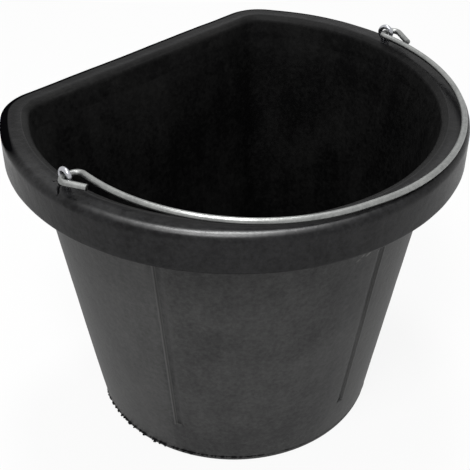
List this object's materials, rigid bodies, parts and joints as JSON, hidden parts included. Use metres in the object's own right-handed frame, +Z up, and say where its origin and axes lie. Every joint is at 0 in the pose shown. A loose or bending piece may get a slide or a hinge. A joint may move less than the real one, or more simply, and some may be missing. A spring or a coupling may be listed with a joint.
{
  "type": "feed bucket",
  "caption": "Flat-backed tapered rubber bucket with a thick rim band, three shallow upright grooves in its round front, and a wire bail hooked through wire eyes on the rim.",
  "frame": {"origin": "centre of the round front's arc, on the underside of the base", "axes": "+Z up, +Y out of the flat back, +X to the right seen from the round front"},
  "size_m": [0.38, 0.321, 0.3069],
  "materials": {
    "base_rubber": "moulded black rubber, matt",
    "wall_rubber": "moulded black rubber with a dusty grey bloom, matt",
    "rim_rubber": "moulded black rubber, satin",
    "eye_wire": "zinc plated wire",
    "bail_wire": "galvanised wire, satin"
  },
  "bodies": {
    "bucket": {"bucket_base": "base_rubber", "bucket_wall": "wall_rubber", "rim_bead": "rim_rubber", "left_eye": "eye_wire", "right_eye": "eye_wire"},
    "bail": {"bail": "bail_wire"}
  },
  "joints": [
    {"name": "bail_swing", "type": "hinge", "parent": "bucket", "child": "bail", "pos_m": [0, -0.01301, 0.2995], "axis": [-0.9999, 0.012, 0], "range_deg": [0, 184.5]}
  ]
}
